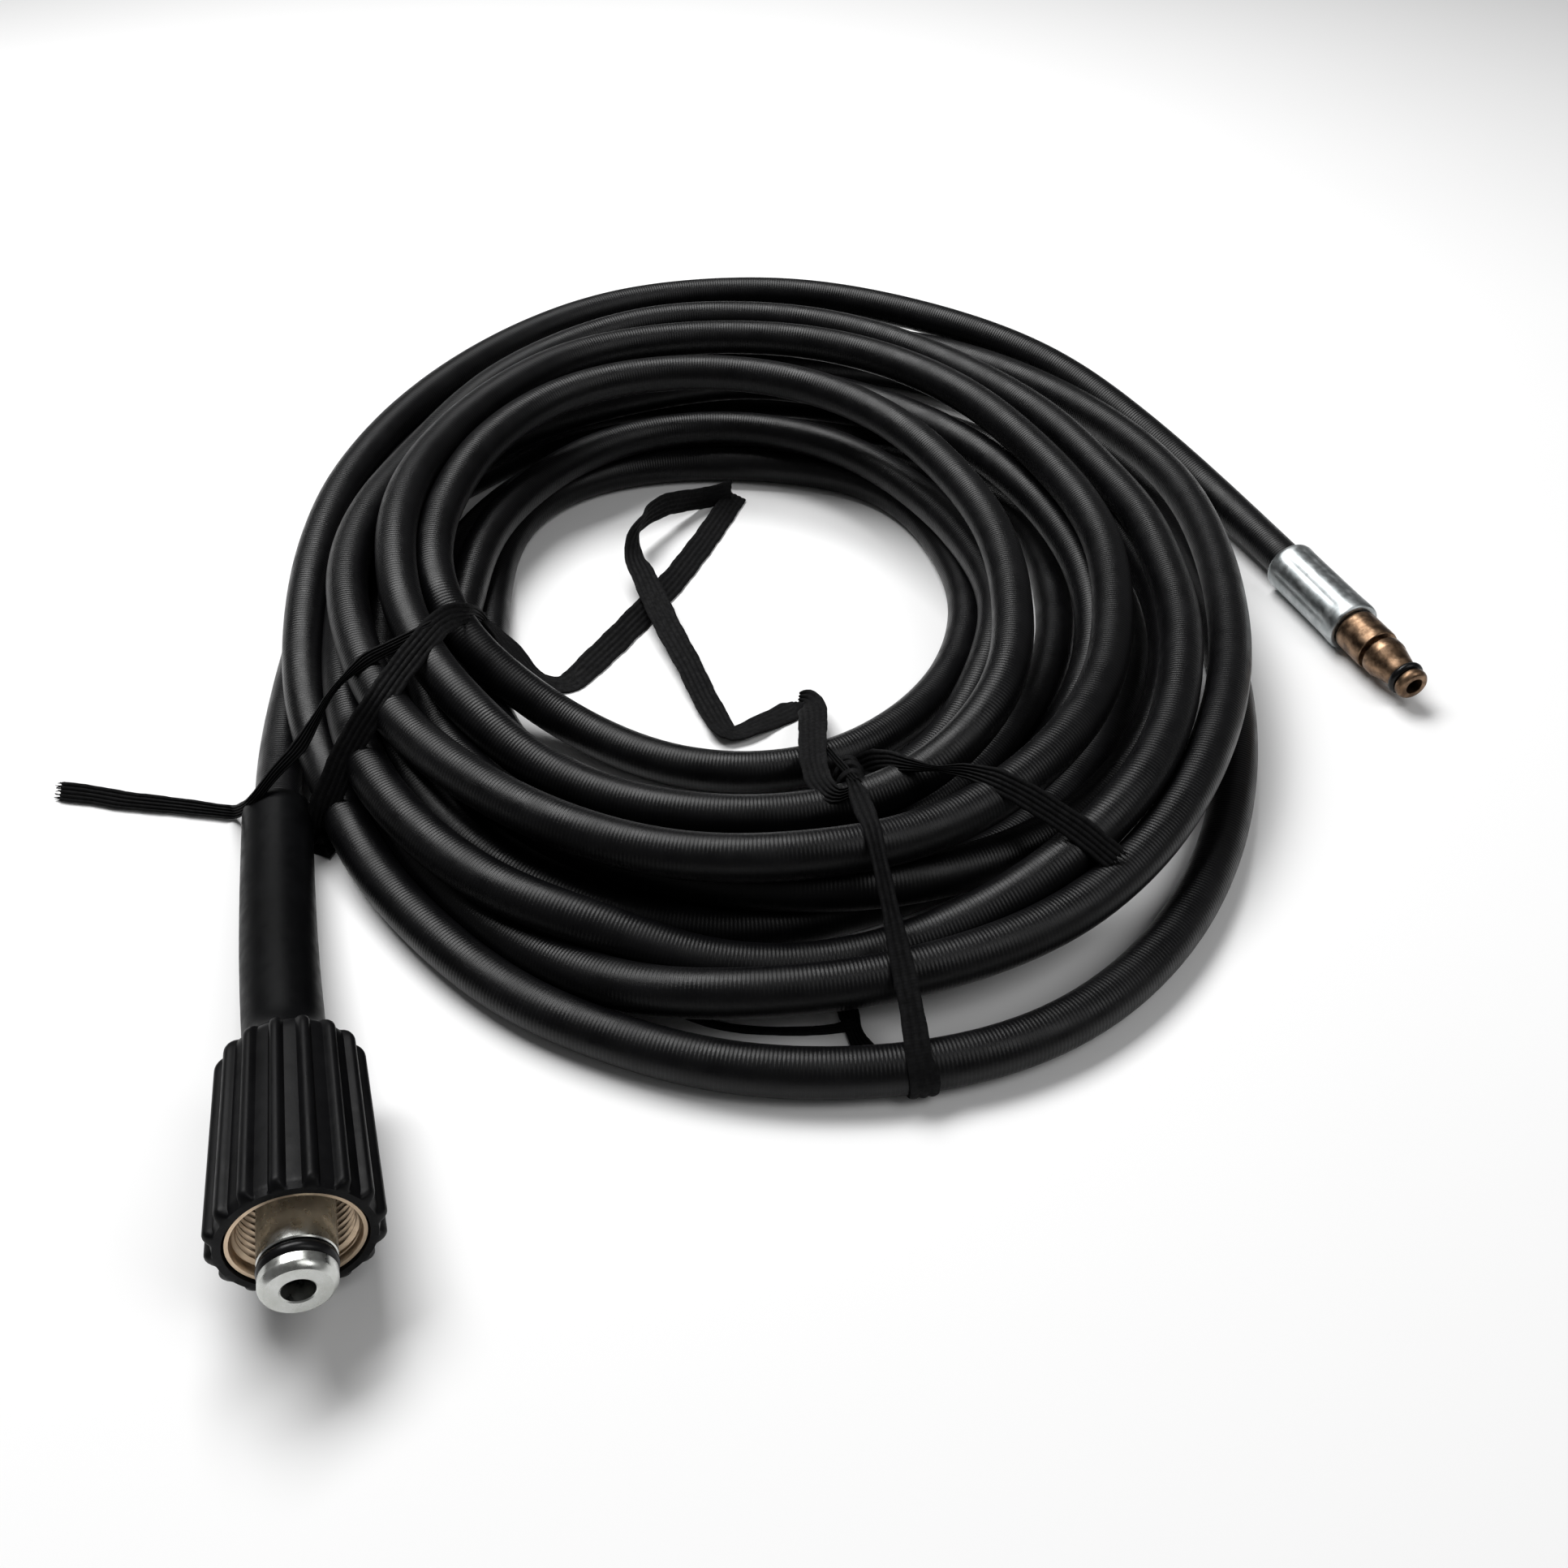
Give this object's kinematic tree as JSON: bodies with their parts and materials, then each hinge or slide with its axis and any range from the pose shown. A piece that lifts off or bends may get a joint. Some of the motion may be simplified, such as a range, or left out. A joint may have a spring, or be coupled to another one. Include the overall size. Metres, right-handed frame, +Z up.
{
  "type": "high pressure hose",
  "caption": "Coiled high pressure hose with a swivelling threaded hand nut and O-ringed plug on one end and a plug-in nipple on the other, held by two elastic tapes",
  "frame": {"origin": "middle of the object's footprint, on the floor that it lies on", "axes": "+Z up, the coil's axis and the object's shortest extent; -Y is the front, the way the threaded end points; +X is the side of the plug-in nipple"},
  "size_m": [0.3709, 0.4088, 0.0491],
  "materials": {
    "hose_black": "satin black hose cover with fine cross ribbing",
    "sleeve_black": "smooth matt black soft plastic",
    "grip_black": "matt charcoal black moulded plastic",
    "insert_brass": "dull turned pinkish brass",
    "zinc_steel": "bright zinc plate with a faint tint",
    "ferrule_zinc": "bright zinc plate, marked by the crimping dies",
    "nipple_bronze": "aged brown brass, stained",
    "o_ring_rubber": "black, slightly glossy",
    "tie_tape": "black woven elastic tape, ribbed lengthwise"
  },
  "bodies": {
    "hose": {"hose_coil": "hose_black", "outer_turn": "hose_black", "end_lead": "hose_black", "bend_sleeve": "sleeve_black", "plug_stem": "zinc_steel", "plug_o_ring": "o_ring_rubber", "crimp_ferrule": "ferrule_zinc", "quick_nipple": "nipple_bronze", "nipple_o_ring": "o_ring_rubber", "tie_left": "tie_tape", "tie_front": "tie_tape"},
    "hand_nut": {"grip_nut": "grip_black", "nut_insert": "insert_brass"}
  },
  "joints": [
    {"name": "nut_spin", "type": "hinge", "parent": "hose", "child": "hand_nut", "pos_m": [-0.0824, -0.1924, 0.0193], "axis": [0.2977, -0.9498, 0.0958], "continuous": true}
  ]
}
